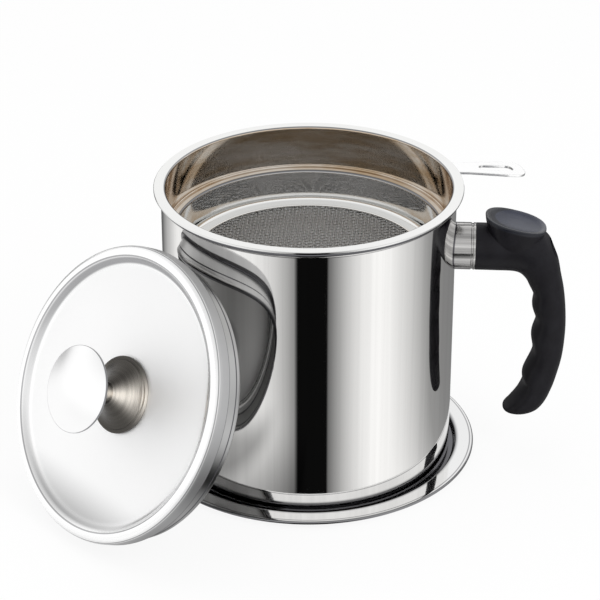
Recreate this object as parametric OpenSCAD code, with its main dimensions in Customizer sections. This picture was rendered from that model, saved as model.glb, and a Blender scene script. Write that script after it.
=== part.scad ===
// Kitchen grease pot: a polished steel pot with a side handle, a lift-out
// strainer, a loose drip tray, and a plug lid that leans against the wall.
// Origin: centre of the tray's underside, on the standing plane.
// +Z is up and +X runs out along the handle arm.

/* [Body] */
// outer radius of the pot wall
body_r = 62; // [56:0.5:70]
// height of the strainer flange's top face above the table
rim_z = 124.2; // [112:0.1:140]
// sheet thickness of the pot wall and base
wall_t = 0.8; // [0.6:0.1:1.2]
// radius of the corner between wall and base
base_corner_r = 2.0; // [1.6:0.1:6]
// section radius of the rolled rim
bead_r = 1.2; // [0.9:0.1:1.5]

/* [Tray] */
// width of the drip tray's rim, outside the recess for the pot
tray_rim = 8.7; // [6:0.1:14]
// sheet thickness of the drip tray
tray_t = 0.8; // [0.6:0.1:1.2]
// height of the tray's flat flange above the table
tray_h = 3.3; // [2.8:0.1:5]
// gap between the pot wall and the tray's recess
tray_gap = 2.0; // [0.6:0.1:3]

/* [Strainer] */
// gap between the pot's inside and the strainer's wall
strainer_gap = 0.5; // [0.3:0.1:1]
// sheet thickness of the strainer
strainer_t = 0.7; // [0.5:0.1:1]
// depth of the upper wall, from the flange to the step
step_depth = 19.0; // [14:0.5:24]
// width of the step between upper and lower wall
step_w = 4.4; // [2.5:0.1:5]
// depth of the whole strainer
strainer_depth = 34; // [28:1:60]
// spacing of the holes in the mesh
mesh_pitch = 6.0; // [5.8:0.1:8]
// size of one hole in the mesh
mesh_hole = 4.4; // [3:0.1:4.8]
// angle of the hanging tab, counted from the handle
tab_angle = 19; // [16:1:40]
// length of the tab beyond the flange
tab_l = 30.5; // [27:0.5:36]
// droop of the tab below the level
tab_droop = 8; // [0:1:10]
// width of the slot in the tab
tab_slot_w = 5.5; // [5.4:0.1:6.4]

/* [Lid] */
// width by which the lid's edge reaches over its plug collar
lid_over = 2.4; // [1.8:0.1:3.4]
// sheet thickness of the lid
lid_t = 0.8; // [0.6:0.1:1]
// depth of the lid's plug collar
collar_h = 9.2; // [7:0.1:12]
// gap between the plug collar and the strainer's wall
collar_gap = 1.2; // [0.3:0.1:1.6]
// direction in which the leaning lid faces
lid_angle = 224.2; // [200:0.1:245]
// turn of the lid from facing straight out from the pot
lid_turn = 2.2; // [0:0.1:5]
// angle of the lid's axis above the level
lid_lean = 26.4; // [22:0.1:32]
// gap between the leaning lid and the pot wall
lean_gap = 0.3; // [0.3:0.1:1]

/* [Knob] */
// radius of the knob's flared foot
knob_foot_r = 16.0; // [14:0.5:19]
// radius of the knob's neck
knob_neck_r = 4.8; // [4.4:0.1:6]
// height of the flared foot
knob_foot_h = 9; // [7:0.5:11]
// radius of the knob's cap
knob_cap_r = 17.8; // [15:0.1:20]
// height of the cap's rim above the lid
knob_rim_h = 24.6; // [20:0.1:28]
// rise of the cap's crown above its rim
knob_crown = 4.0; // [3:0.1:5]

/* [Handle] */
// distance of the handle arm's axis below the strainer's flange
arm_drop = 26.7; // [24:0.1:32]
// radius of the round arm
arm_r = 10.0; // [9.6:0.1:10.6]
// length of the steel ferrule beyond the pot wall
ferrule_l = 8.6; // [7:0.1:12]
// radius of the screw's shank
screw_r = 2.5; // [2:0.1:3]
// radius of the screw's head
screw_head_r = 4.3; // [3.8:0.1:4.6]
// gap round a screw in its hole
screw_gap = 0.2; // [0.1:0.05:0.4]
// half width of the grip
grip_half_w = 10.4; // [9.5:0.1:12]
// length of the thumb rest
pad_l = 26.4; // [24:0.2:28]
// width of the thumb rest
pad_w = 21; // [19:0.5:23]
// downward slope of the thumb rest, away from the pot
pad_slope = 13; // [8:1:16]

/* [Hidden] */
$fn = 96;
eps = 0.01;
arc_n = 8;
steel = [0.80, 0.80, 0.82];
brushed = [0.52, 0.50, 0.48];
black = [0.03, 0.03, 0.035];

// pot and tray
tray_r = body_r + tray_gap + tray_rim;
pot_z = tray_t;
seat_gap = 0.3;
flange_t = strainer_t + 0.1;
pot_in_r = body_r - wall_t;
bead_c_r = pot_in_r + bead_r;
bead_top = rim_z - flange_t - seat_gap;
bead_z = bead_top - bead_r;
rim_split = bead_z - bead_r - 0.4;
kick_r = body_r - 17;
kick_h = 0.6;

// strainer
str_out_r = pot_in_r - strainer_gap;
str_in_r = str_out_r - strainer_t;
flange_over = 1.4;
flange_r = bead_c_r + bead_r + flange_over;
fold_r = 1.0;
step_z = rim_z - step_depth;
low_in_r = str_in_r - step_w;
low_z = rim_z - strainer_depth;
low_corner = 2.4;
mesh_t = 0.5;
mesh_r = low_in_r - low_corner - 0.6;
lip_in_r = mesh_r - 4.2;
ring_t = 1.1;

// tab
tab_t = 1.2;
tab_root_w = 10.2;
tab_end_w = 13.8;
tab_corner = 4.4;
tab_slot_l = 15.4;
tab_slot_c = flange_r + 18.2;

// lid, in its own frame: +Z is the lid's outward axis, z = 0 the seat
collar_r = str_in_r - collar_gap;
collar_t = 0.7;
collar_groove = 3.0;
lid_r = collar_r + lid_over;
lid_in_r = lid_r - lid_t;
lid_skirt_h = 3.9;
lid_round = 2.8;
lid_crest_r = lid_r - lid_round;
lid_crest_z = lid_skirt_h + lid_round;
panel_r = lid_crest_r - 2.7;
panel_z = lid_crest_z - 2.6;
panel_fillet = 1.5;
panel_steep = 22;
flat_r = knob_foot_r + 1.5;
flat_z = 1.0;
lean_x = body_r + lean_gap + collar_h * cos(lid_lean) + collar_r * sin(lid_lean);
lean_z = collar_r * cos(lid_lean) + collar_h * sin(lid_lean);

// knob
knob_ring_h = 1.5;
knob_hole_r = screw_r * 0.8;
insert_r = 3.4;
insert_h = 12;
cap_neck_r = knob_neck_r + 0.4;
cap_under_h = 5.5;
knob_screw_l = 20;
knob_head_r = 3.8;
knob_head_h = 2.2;
knob_washer_r = 5.2;
knob_washer_t = 0.8;
knob_cross_depth = 1.1;
knob_seat_h = 4;
knob_top_skin = 0.4;

// handle
arm_z = rim_z - arm_drop;
ferrule_x = body_r + ferrule_l;
ferrule_t = 1.2;
ferrule_end_t = 1.4;
stud_r = 4.6;
stud_x = ferrule_x - 1.6;
head_seat_out = 26.4;
head_seat_x = ferrule_x + head_seat_out;
washer_t = 1.0;
washer_r = screw_head_r + 0.1;
recess_r = washer_r + 0.4;
head_h = 3.0;
shank_x = body_r + 1.4;
cross_w = 1.0;
cross_depth = 1.7;

// grip stations, measured from the ferrule's end and the arm's axis:
// [outer x, outer z, inner x, inner z, half width]
grip_knots = [
  [0.0, arm_r, 0.0, -arm_r, arm_r],
  [8.4, arm_r, 7.4, -arm_r, arm_r],
  [22.0, 9.8, 16.8, -10.1, arm_r],
  [30.3, 5.6, 20.8, -12.4, grip_half_w],
  [34.6, -3.6, 23.2, -16.6, grip_half_w],
  [36.5, -11.8, 25.2, -21.3, grip_half_w],
  [38.2, -19.8, 24.9, -26.7, grip_half_w],
  [39.3, -29.3, 26.7, -33.3, grip_half_w],
  [39.6, -38.9, 25.1, -40.5, grip_half_w],
  [38.8, -50.1, 25.9, -48.9, grip_half_w],
  [36.6, -60.8, 22.2, -59.0, grip_half_w],
  [35.0, -66.0, 22.3, -63.6, grip_half_w],
  [32.9, -71.4, 20.0, -69.3, grip_half_w - 0.5],
  [29.8, -75.8, 16.6, -74.0, grip_half_w - 1.5],
  [25.0, -77.9, 14.3, -76.8, grip_half_w - 3.2],
  [20.8, -78.3, 15.8, -78.2, grip_half_w - 7.2]
];
grip_steps = 3;
grip_sides = 28;
// thumb rest rings: [length scale, width scale, shift away from the pot, height over its rim]
pad_rings = [
  [0.78, 0.93, 2.05, -11.0], [0.86, 0.95, 1.3, -7.2], [0.92, 0.965, 0.65, -4.4],
  [0.97, 0.985, 0.2, -2.2], [0.99, 1.0, 0.1, -1.1], [1.0, 1.0, 0, -0.5],
  [0.985, 0.985, 0, -0.12], [0.94, 0.94, 0, 0], [0.88, 0.88, 0, -0.15],
  [0.66, 0.66, 0, -0.8], [0.34, 0.34, 0, -1.2]
];
pad_sides = 36;
pad_out = 16.6;
pad_up = 12.5;
pad_x = ferrule_x + pad_out;
pad_z = arm_z + pad_up;

// ---------- helpers ----------

// points of an arc round [cx, cy], from angle a0 to a1
function arc(cx, cy, r, a0, a1, n = arc_n) =
  [for (i = [0:n]) let (a = a0 + (a1 - a0) * i / n) [cx + r * cos(a), cy + r * sin(a)]];

// one value of a smooth curve through p0 to p3, between p1 and p2
function smooth(p0, p1, p2, p3, t) =
  0.5 * ((2 * p1) + (p2 - p0) * t + (2 * p0 - 5 * p1 + 4 * p2 - p3) * t * t
    + (3 * p1 - p0 - 3 * p2 + p3) * t * t * t);

// a denser list of stations along a list of knots
function refine(k, n) =
  concat([for (i = [0:len(k) - 2], j = [0:n - 1])
    smooth(k[max(i - 1, 0)], k[i], k[i + 1], k[min(i + 2, len(k) - 1)], j / n)],
    [k[len(k) - 1]]);

// signed power, for the rounded-square section
function spow(v, p) = sign(v) * pow(abs(v), p);

// one ring of the grip, seen along its own way
function grip_ring(s, e) =
  [for (i = [0:grip_sides - 1]) let (
    a = 360 * i / grip_sides,
    u = spow(cos(a), e),
    v = spow(sin(a), e),
    cx = (s[0] + s[2]) / 2,
    cz = (s[1] + s[3]) / 2)
    [ferrule_x + cx + u * (s[0] - s[2]) / 2, -v * s[4], arm_z + cz + u * (s[1] - s[3]) / 2]];

// the middle of a ring of points
function middle(r) =
  [for (k = [0:2]) let (v = [for (p = r) p[k]]) v * [for (p = r) 1] / len(r)];

// a closed skin over equal rings of points, with a fan of triangles at each end
module skin(rings) {
  n = len(rings[0]);
  m = len(rings);
  points = concat([for (r = rings, p = r) p], [middle(rings[0]), middle(rings[m - 1])]);
  sides = [for (i = [0:m - 2], j = [0:n - 1], k = [0:1]) let (
    a = i * n + j,
    b = i * n + (j + 1) % n)
    k == 0 ? [a, b + n, b] : [a, a + n, b + n]];
  first = [for (j = [0:n - 1]) [j, (j + 1) % n, m * n]];
  last = [for (j = [0:n - 1]) [(m - 1) * n + (j + 1) % n, (m - 1) * n + j, m * n + 1]];
  polyhedron(points = points, faces = concat(sides, first, last), convexity = 6);
}

// puts a shape drawn in the lid's frame where the lid leans
module lean() {
  rotate([0, 0, lid_angle - lid_turn])
    translate([lean_x, 0, lean_z])
      rotate([0, 0, lid_turn])
        rotate([0, 90 - lid_lean, 0])
          children();
}

// puts a shape drawn along +Z on the handle arm's axis
module along_arm(x) {
  translate([x, 0, arm_z])
    rotate([0, 90, 0])
      children();
}

// ---------- tray and pot ----------

module tray() {
  r_in = body_r + tray_gap;
  z_top = tray_h;
  z_low = tray_h - tray_t;
  color(steel)
    rotate_extrude()
      polygon(concat(
        [[0, 0]],
        arc(r_in - 0.4, 1.2, 1.2, -90, -10),
        arc(r_in + 2.3, z_low - 0.8, 0.8, 170, 90),
        [[tray_r - 1.0, z_low]],
        arc(tray_r - 0.75, z_low + 0.05, 0.75, -110, 90),
        [[tray_r - 1.4, z_top]],
        arc(r_in + 1.6, z_top - 0.9, 0.9, 90, 170),
        arc(r_in - 0.4, tray_t + 0.5, 0.5, -10, -90),
        [[0, tray_t]]
      ));
}

module pot_body() {
  c = body_r - base_corner_r;
  ci = base_corner_r - wall_t;
  color(steel)
    rotate_extrude()
      polygon(concat(
        [[0, pot_z + kick_h], [kick_r - 2, pot_z + kick_h]],
        [[kick_r, pot_z]],
        arc(c, pot_z + base_corner_r, base_corner_r, -90, 0),
        [[body_r, rim_split], [pot_in_r, rim_split]],
        arc(c, pot_z + base_corner_r, ci, 0, -90),
        [[kick_r + 0.4, pot_z + wall_t], [kick_r - 1.6, pot_z + wall_t + kick_h]],
        [[0, pot_z + wall_t + kick_h]]
      ));
}

// the rolled rim, flush with the inside of the wall that it continues
module pot_rim() {
  color(steel)
    rotate_extrude()
      union() {
        translate([pot_in_r, rim_split])
          square([wall_t, bead_z - rim_split]);
        translate([bead_c_r, bead_z])
          circle(r = bead_r, $fn = 32);
      }
}

// ---------- handle ----------

module handle_stud() {
  color(steel)
    difference() {
      along_arm(body_r - 2)
        cylinder(r = stud_r, h = stud_x - body_r + 2);
      cylinder(r = body_r, h = rim_z);
      along_arm(shank_x - 0.4)
        cylinder(r = screw_r + screw_gap / 4, h = ferrule_l);
    }
}

module handle_ferrule() {
  h = ferrule_l + 2;
  color(steel)
    difference() {
      along_arm(body_r - 2)
        rotate_extrude()
          polygon([
            [screw_r + screw_gap, h - ferrule_end_t],
            [arm_r - ferrule_t, h - ferrule_end_t],
            [arm_r - ferrule_t, 0],
            [arm_r, 0],
            [arm_r, h - 2.0],
            [arm_r - 0.35, h - 1.8],
            [arm_r - 0.35, h - 1.2],
            [arm_r, h - 1.0],
            [arm_r, h - 0.4],
            [arm_r - 0.4, h],
            [screw_r + screw_gap, h]
          ]);
      cylinder(r = body_r, h = rim_z);
    }
}

// the black grip: arm, elbow, finger grooves and thumb rest in one moulding
module handle_grip() {
  knots = refine(grip_knots, grip_steps);
  color(black)
    difference() {
      union() {
        skin([for (i = [0:len(knots) - 1]) grip_ring(knots[i], i < 6 ? 1 : 0.88)]);
        thumb_rest();
      }
      along_arm(ferrule_x - 1)
        cylinder(r = screw_r + screw_gap, h = 40);
      along_arm(head_seat_x)
        cylinder(r = recess_r, h = 30);
    }
}

// oval rest with a dished top and an overhanging lip
module thumb_rest() {
  rings = [for (q = pad_rings)
    [for (i = [0:pad_sides - 1]) let (a = 360 * i / pad_sides)
      [q[2] + q[0] * pad_l / 2 * spow(cos(a), 0.85), q[1] * pad_w / 2 * spow(sin(a), 0.85), q[3]]]];
  translate([pad_x, 0, pad_z])
    rotate([0, pad_slope, 0])
      skin(rings);
}

module handle_washer() {
  color(brushed)
    along_arm(head_seat_x)
      difference() {
        cylinder(r = washer_r, h = washer_t);
        translate([0, 0, -eps])
          cylinder(r = screw_r + screw_gap, h = washer_t + 2 * eps);
      }
}

module handle_screw() {
  l = head_seat_x + washer_t - shank_x;
  color(brushed)
    along_arm(shank_x)
      difference() {
        rotate_extrude()
          polygon(concat(
            [[0, 0], [screw_r - 0.4, 0], [screw_r, 0.4], [screw_r, l]],
            [[screw_head_r, l], [screw_head_r, l + head_h - 1.2]],
            arc(screw_head_r - 1.2, l + head_h - 1.2, 1.2, 0, 90, 4),
            [[0, l + head_h]]
          ));
        for (a = [0, 90])
          translate([0, 0, l + head_h])
            rotate([0, 0, a])
              cube([screw_head_r + 0.3, cross_w, 2 * cross_depth], center = true);
      }
}

// ---------- strainer ----------

module strainer_bowl() {
  t = strainer_t;
  f = rim_z - fold_r;
  color(steel)
    rotate_extrude()
      polygon(concat(
        [[flange_r, rim_z - flange_t], [flange_r, rim_z - 0.2], [flange_r - 0.2, rim_z]],
        arc(str_in_r + fold_r, f, fold_r, 90, 180),
        arc(str_in_r - 0.8, step_z + 0.8, 0.8, 0, -90, 4),
        arc(low_in_r + 1.2, step_z - 1.2, 1.2, 90, 180),
        arc(low_in_r - low_corner, low_z + low_corner, low_corner, 0, -90),
        [[lip_in_r, low_z], [lip_in_r, low_z - t]],
        arc(low_in_r - low_corner, low_z + low_corner, low_corner + t, -90, 0),
        [[low_in_r + t, step_z - 1.2]],
        arc(low_in_r + 1.2, step_z - 1.2, 1.2 - t, 180, 90, 4),
        arc(str_in_r - 0.8, step_z + 0.8, 0.8 + t, -90, 0),
        arc(str_in_r + fold_r, f, fold_r - flange_t + 0.1, 180, 90, 4),
        [[flange_r - 1, rim_z - flange_t]]
      ));
}

module strainer_mesh() {
  n = floor(mesh_r / mesh_pitch) + 1;
  far = mesh_r - 3.6;
  color(steel)
    translate([0, 0, low_z])
      linear_extrude(height = mesh_t)
        difference() {
          circle(r = mesh_r);
          for (i = [-n:n], j = [-n:n])
            if (norm([abs(i) * mesh_pitch + mesh_hole / 2, abs(j) * mesh_pitch + mesh_hole / 2]) < far)
              translate([i * mesh_pitch, j * mesh_pitch])
                square(mesh_hole, center = true);
        }
}

// ring that clamps the mesh on the bowl's lip
module mesh_ring() {
  color(steel)
    translate([0, 0, low_z + mesh_t])
      rotate_extrude()
        polygon(concat(
          [[lip_in_r, 0], [mesh_r, 0], [mesh_r, ring_t - 0.3], [mesh_r - 0.3, ring_t]],
          arc(lip_in_r + 0.55, ring_t - 0.55, 0.55, 90, 180, 4)
        ));
}

module strainer_tab() {
  r0 = flange_r - 3;
  r1 = flange_r + tab_l;
  color(steel)
    difference() {
      rotate([0, 0, tab_angle])
        translate([flange_r, 0, rim_z])
          rotate([0, tab_droop, 0])
            translate([-flange_r, 0, -tab_t])
              difference() {
                linear_extrude(height = tab_t)
                  difference() {
                    union() {
                      polygon([
                        [r0, -tab_root_w / 2],
                        [flange_r + 4, -tab_root_w / 2],
                        [r1 - 9, -tab_end_w / 2],
                        [r1 - tab_corner, -tab_end_w / 2],
                        [r1 - tab_corner, tab_end_w / 2],
                        [r1 - 9, tab_end_w / 2],
                        [flange_r + 4, tab_root_w / 2],
                        [r0, tab_root_w / 2]
                      ]);
                      translate([r1 - tab_corner, -tab_end_w / 2 + tab_corner])
                        circle(r = tab_corner);
                      translate([r1 - tab_corner, tab_end_w / 2 - tab_corner])
                        circle(r = tab_corner);
                      translate([r1 - tab_corner - eps, -tab_end_w / 2 + tab_corner])
                        square([tab_corner + eps, tab_end_w - 2 * tab_corner]);
                    }
                    translate([tab_slot_c - tab_slot_l / 2 + tab_slot_w / 2, 0])
                      circle(r = tab_slot_w / 2);
                    translate([tab_slot_c + tab_slot_l / 2 - tab_slot_w / 2, 0])
                      circle(r = tab_slot_w / 2);
                    translate([tab_slot_c, 0])
                      square([tab_slot_l - tab_slot_w, tab_slot_w], center = true);
                  }
              }
      translate([0, 0, rim_z - 20])
        cylinder(r = flange_r, h = 40);
    }
}

// ---------- lid ----------

// a point of the dished panel, from its flat middle (s = 0) to its edge (s = 1)
function panel_point(s, drop) =
  [flat_r + (panel_r - flat_r) * s,
    flat_z - drop + (panel_z - flat_z) * s * s + panel_fillet * pow(s, panel_steep)];

module lid_shell() {
  t = lid_t;
  c = lid_r - lid_round;
  n = 12;
  color(steel)
    lean()
      rotate_extrude()
        polygon(concat(
          [[lid_in_r, 0], [lid_r, 0]],
          arc(c, lid_skirt_h, lid_round, 0, 90),
          [[c - 1.0, lid_crest_z]],
          arc(panel_r + 1.6, lid_crest_z - 1.0, 1.0, 90, 140, 3),
          [for (i = [0:n]) let (s = 1 - pow(i / n, 2)) panel_point(s, 0)],
          [[knob_hole_r + screw_gap, flat_z], [knob_hole_r + screw_gap, flat_z - t]],
          [for (i = [0:n]) let (s = 1 - pow(1 - i / n, 2)) panel_point(s, t)],
          arc(panel_r + 1.6 + 0.6, lid_crest_z - 1.0 - t, 1.0, 140, 90, 3),
          [[c - 1.0, lid_crest_z - t]],
          arc(c, lid_skirt_h, lid_round - t, 90, 0)
        ));
}

module lid_collar() {
  t = collar_t;
  r = collar_r;
  low = -collar_h;
  groove_z = low + collar_groove;
  color(steel)
    lean()
      rotate_extrude()
        polygon(concat(
          [[lid_in_r, 0], [lid_in_r, t]],
          arc(r - t + 0.9, t - 0.9, 0.9, 90, 180, 4),
          [[r - t, low + 1.6]],
          arc(r - 1.6, low + 1.6, 1.6 - t, 0, -90, 4),
          [[r - 2.6, low + t], [r - 2.6, low]],
          arc(r - 1.6, low + 1.6, 1.6, -90, 0, 6),
          [[r, groove_z - 0.3], [r - 0.25, groove_z], [r, groove_z + 0.3]],
          [[r, -0.2], [r + 0.2, 0]]
        ));
}

// ---------- knob ----------

module knob_base() {
  h = knob_foot_h;
  nk = knob_neck_r;
  f = knob_foot_r;
  n = 8;
  top = knob_rim_h - cap_under_h;
  low = top - insert_h + knob_seat_h;
  color(brushed)
    lean()
      translate([0, 0, flat_z])
        rotate_extrude()
          polygon(concat(
            [[knob_hole_r + screw_gap, 0], [f - 0.3, 0], [f, 0.3], [f, knob_ring_h - 0.3]],
            [[f - 0.3, knob_ring_h], [f - 1.3, knob_ring_h]],
            [for (i = [0:n]) let (s = i / n)
              [f - 1.6 - (f - 1.6 - nk) * pow(s, 0.9), knob_ring_h + 0.5 + (h - knob_ring_h - 0.5) * pow(s, 1.35)]],
            [[nk, top], [insert_r, top], [insert_r, low]],
            [[knob_hole_r + screw_gap, low]]
          ));
}

module knob_cap() {
  r = knob_cap_r;
  low = knob_rim_h - cap_under_h;
  n = 8;
  crown_r = (r * r + knob_crown * knob_crown) / (2 * knob_crown);
  color(steel)
    lean()
      translate([0, 0, flat_z])
        rotate_extrude()
          polygon(concat(
            [[insert_r, low], [cap_neck_r, low], [cap_neck_r + 0.6, low + 0.5]],
            [for (i = [1:n - 1]) let (s = i / n)
              [cap_neck_r + 0.6 + (r - 1.4 - cap_neck_r - 0.6) * s, low + 0.5 + (cap_under_h - 2.0) * s * s]],
            [[r - 0.7, knob_rim_h - 1.3], [r, knob_rim_h - 0.8]],
            [for (i = [0:n]) let (a = asin(r / crown_r) * (1 - i / n))
              [crown_r * sin(a), knob_rim_h + knob_crown - crown_r + crown_r * cos(a)]],
            [[0, knob_rim_h - knob_top_skin], [insert_r, knob_rim_h - knob_top_skin]]
          ));
}

// threaded bush that joins the cap to the neck
module knob_insert() {
  sunk = insert_h - knob_seat_h;
  color(brushed)
    lean()
      translate([0, 0, flat_z + knob_rim_h - cap_under_h - sunk])
        difference() {
          cylinder(r = insert_r, h = cap_under_h + sunk - knob_top_skin);
          translate([0, 0, -eps])
            cylinder(r = knob_hole_r + screw_gap / 4, h = insert_h - 1);
        }
}

module knob_washer() {
  color(brushed)
    lean()
      translate([0, 0, flat_z - lid_t - knob_washer_t])
        difference() {
          cylinder(r = knob_washer_r, h = knob_washer_t);
          translate([0, 0, -eps])
            cylinder(r = knob_hole_r + screw_gap, h = knob_washer_t + 2 * eps);
        }
}

module knob_screw() {
  seat = flat_z - lid_t - knob_washer_t;
  color(brushed)
    lean()
      translate([0, 0, seat])
        difference() {
          union() {
            cylinder(r = knob_hole_r, h = knob_screw_l);
            translate([0, 0, -knob_head_h])
              rotate_extrude()
                polygon(concat(
                  [[0, 0]],
                  arc(knob_head_r - 0.9, 0.9, 0.9, -90, 0, 4),
                  [[knob_head_r, knob_head_h], [0, knob_head_h]]
                ));
          }
          for (a = [0, 90])
            translate([0, 0, -knob_head_h])
              rotate([0, 0, a])
                cube([knob_head_r + 0.3, cross_w * 0.8, 2 * knob_cross_depth], center = true);
        }
}

tray();
pot_body();
pot_rim();
handle_stud();
handle_ferrule();
handle_grip();
handle_washer();
handle_screw();
strainer_bowl();
strainer_mesh();
mesh_ring();
strainer_tab();
lid_shell();
lid_collar();
knob_base();
knob_cap();
knob_insert();
knob_washer();
knob_screw();
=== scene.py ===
"""Looks of a polished steel grease pot: lid, strainer, drip tray and black side grip."""
import math

import bpy
import bmesh
from mathutils import Matrix, Vector


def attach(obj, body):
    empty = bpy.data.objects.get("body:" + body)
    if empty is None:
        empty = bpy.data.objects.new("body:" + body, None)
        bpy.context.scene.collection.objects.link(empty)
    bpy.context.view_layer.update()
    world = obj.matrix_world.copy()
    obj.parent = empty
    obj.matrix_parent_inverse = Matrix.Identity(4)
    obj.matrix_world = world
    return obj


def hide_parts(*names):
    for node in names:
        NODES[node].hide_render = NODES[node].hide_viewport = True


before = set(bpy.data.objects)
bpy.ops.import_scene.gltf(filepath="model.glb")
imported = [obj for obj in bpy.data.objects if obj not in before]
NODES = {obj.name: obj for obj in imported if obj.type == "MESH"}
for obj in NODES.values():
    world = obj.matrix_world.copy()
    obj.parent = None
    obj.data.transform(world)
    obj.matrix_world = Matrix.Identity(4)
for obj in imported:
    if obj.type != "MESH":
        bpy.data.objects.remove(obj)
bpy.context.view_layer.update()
MM = 0.001

# ---------------------------------------------------------------- sizes (mm and degrees)
# pot and its rolled rim
BODY_R, WALL_T, CORNER_R, BEAD_R = 62.0, 0.8, 2.0, 1.2
RIM_Z, FLANGE_T, SEAT_GAP = 124.2, 0.8, 0.3
POT_IN_R = BODY_R - WALL_T
BEAD_C = POT_IN_R + BEAD_R
BEAD_Z = RIM_Z - FLANGE_T - SEAT_GAP - BEAD_R
RIM_SPLIT = BEAD_Z - BEAD_R - 0.4
KICK_R, KICK_H = BODY_R - 17, 0.6

# drip tray
TRAY_T, TRAY_H, TRAY_GAP, TRAY_RIM = 0.8, 3.3, 2.0, 8.7
TRAY_R = BODY_R + TRAY_GAP + TRAY_RIM
POT_Z = TRAY_T

# strainer: upper wall, step, lower wall, and the lip that carries the mesh
STRAINER_GAP, STRAINER_T = 0.5, 0.7
STR_IN_R = POT_IN_R - STRAINER_GAP - STRAINER_T
STEP_Z, LOW_Z = RIM_Z - 19.0, RIM_Z - 34.0
LOW_IN_R = STR_IN_R - 4.4
LOW_CORNER, FOLD_R, SHOULDER_R, STEP_R = 2.4, 1.0, 0.8, 1.2
FLANGE_R = BEAD_C + BEAD_R + 1.4
MESH_R = LOW_IN_R - LOW_CORNER - 0.6
LIP_R = MESH_R - 4.2
MESH_T, RING_T, RING_ROUND = 0.5, 1.1, 0.55
WIRE_PITCH, WIRE_R, WIRE_WAVE, WIRE_Z = 1.6, 0.17, 0.16, LOW_Z + 0.28
WIRE_COUNT, WIRE_SIDES = 65, 4

# hanging tab and its slot
TAB_ANGLE, TAB_DROOP, TAB_L, TAB_T, TAB_EDGE = 19.0, 8.0, 30.5, 1.2, 0.18
TAB_ROOT_W, TAB_END_W, TAB_CORNER = 10.2, 13.8, 4.4
TAB_NECK, TAB_HEAD = 4, 9
SLOT_C, SLOT_L, SLOT_W = FLANGE_R + 18.2, 15.4, 5.5

# lid, along its own axis from the seat, and how it leans
COLLAR_R, COLLAR_H, COLLAR_T, COLLAR_GROOVE = STR_IN_R - 1.2, 9.2, 0.7, 3.0
LID_R, LID_T, LID_SKIRT, LID_ROUND = COLLAR_R + 2.4, 0.8, 3.9, 2.8
CREST_R, CREST_Z = LID_R - LID_ROUND, LID_SKIRT + LID_ROUND
PANEL_R, PANEL_Z, PANEL_FILLET, PANEL_STEEP = CREST_R - 2.7, CREST_Z - 2.6, 1.5, 22
LID_ANGLE, LID_TURN, LID_LEAN, LEAN_GAP = 224.2, 2.2, 26.4, 0.3

# knob
KNOB_FOOT_R, KNOB_NECK_R, KNOB_FOOT_H, KNOB_RING_H = 16.0, 4.8, 9.0, 1.5
KNOB_CAP_R, KNOB_RIM_H, KNOB_CROWN, KNOB_UNDER = 17.8, 24.6, 4.0, 5.5
KNOB_BORE_R, INSERT_R, INSERT_SUNK = 2.2, 3.4, 8.0
FLAT_Z, FLAT_R = 1.0, KNOB_FOOT_R + 1.5

# handle arm, its ferrule and the grip's screw
ARM_R, ARM_Z = 10.0, RIM_Z - 26.7
FERRULE_L, FERRULE_T, FERRULE_END_T, GROOVE_DEPTH = 8.6, 1.2, 1.4, 0.35
FERRULE_X = BODY_R + FERRULE_L
HEAD_SEAT_X = FERRULE_X + 26.4
BORE_R, RECESS_R = 2.7, 4.8
GRIP_W = 10.4

# thumb rest, and the dish in it: centre, length and width
PAD_X, PAD_Z, PAD_L, PAD_W, PAD_SLOPE = FERRULE_X + 16.6, ARM_Z + 12.5, 26.4, 21.0, 13.0
DISH_AT, DISH_L, DISH_W = (2.2, 1.0), 22.6, 18.0


def turned(degrees, axis):
    return Matrix.Rotation(math.radians(degrees), 4, axis)


def moved(x, y, z):
    return Matrix.Translation(Vector((x, y, z)) * MM)


def lean_matrix():
    """Placement of the leaning lid: its own +Z becomes the outward axis."""
    lean = math.radians(LID_LEAN)
    x = BODY_R + LEAN_GAP + COLLAR_H * math.cos(lean) + COLLAR_R * math.sin(lean)
    z = COLLAR_R * math.cos(lean) + COLLAR_H * math.sin(lean)
    spot = turned(LID_ANGLE - LID_TURN, "Z") @ moved(x, 0, z)
    return spot @ turned(LID_TURN, "Z") @ turned(90 - LID_LEAN, "Y")


LEAN = lean_matrix()
ARM = moved(0, 0, ARM_Z) @ turned(90, "Y")


# ---------------------------------------------------------------- mesh helpers
def arc(cx, cy, r, a0, a1, n=12):
    """Points of an arc round (cx, cy), angles in degrees."""
    out = []
    for i in range(n + 1):
        a = math.radians(a0 + (a1 - a0) * i / n)
        out.append((cx + r * math.cos(a), cy + r * math.sin(a)))
    return out


def add_object(name, data):
    obj = bpy.data.objects.new(name, data)
    bpy.context.scene.collection.objects.link(obj)
    return obj


def from_bmesh(name, bm, sharp=32):
    """A mesh object with smooth faces, and sharp edges where the surface turns hard."""
    bmesh.ops.remove_doubles(bm, verts=bm.verts, dist=1e-7)
    bmesh.ops.recalc_face_normals(bm, faces=bm.faces)
    for face in bm.faces:
        face.smooth = True
    limit = math.radians(sharp)
    for edge in bm.edges:
        if len(edge.link_faces) == 2 and edge.calc_face_angle(0.0) > limit:
            edge.smooth = False
    mesh = bpy.data.meshes.new(name)
    bm.to_mesh(mesh)
    bm.free()
    return add_object(name, mesh)


def join_rings(bm, a, b):
    """Quads between two equal closed rings of vertices."""
    count = len(a)
    for k in range(count):
        m = (k + 1) % count
        bm.faces.new((a[k], a[m], b[m], b[k]))


def fan(bm, ring, middle):
    """Triangles from a closed ring to one vertex."""
    count = len(ring)
    for k in range(count):
        bm.faces.new((ring[k], ring[(k + 1) % count], middle))


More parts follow.
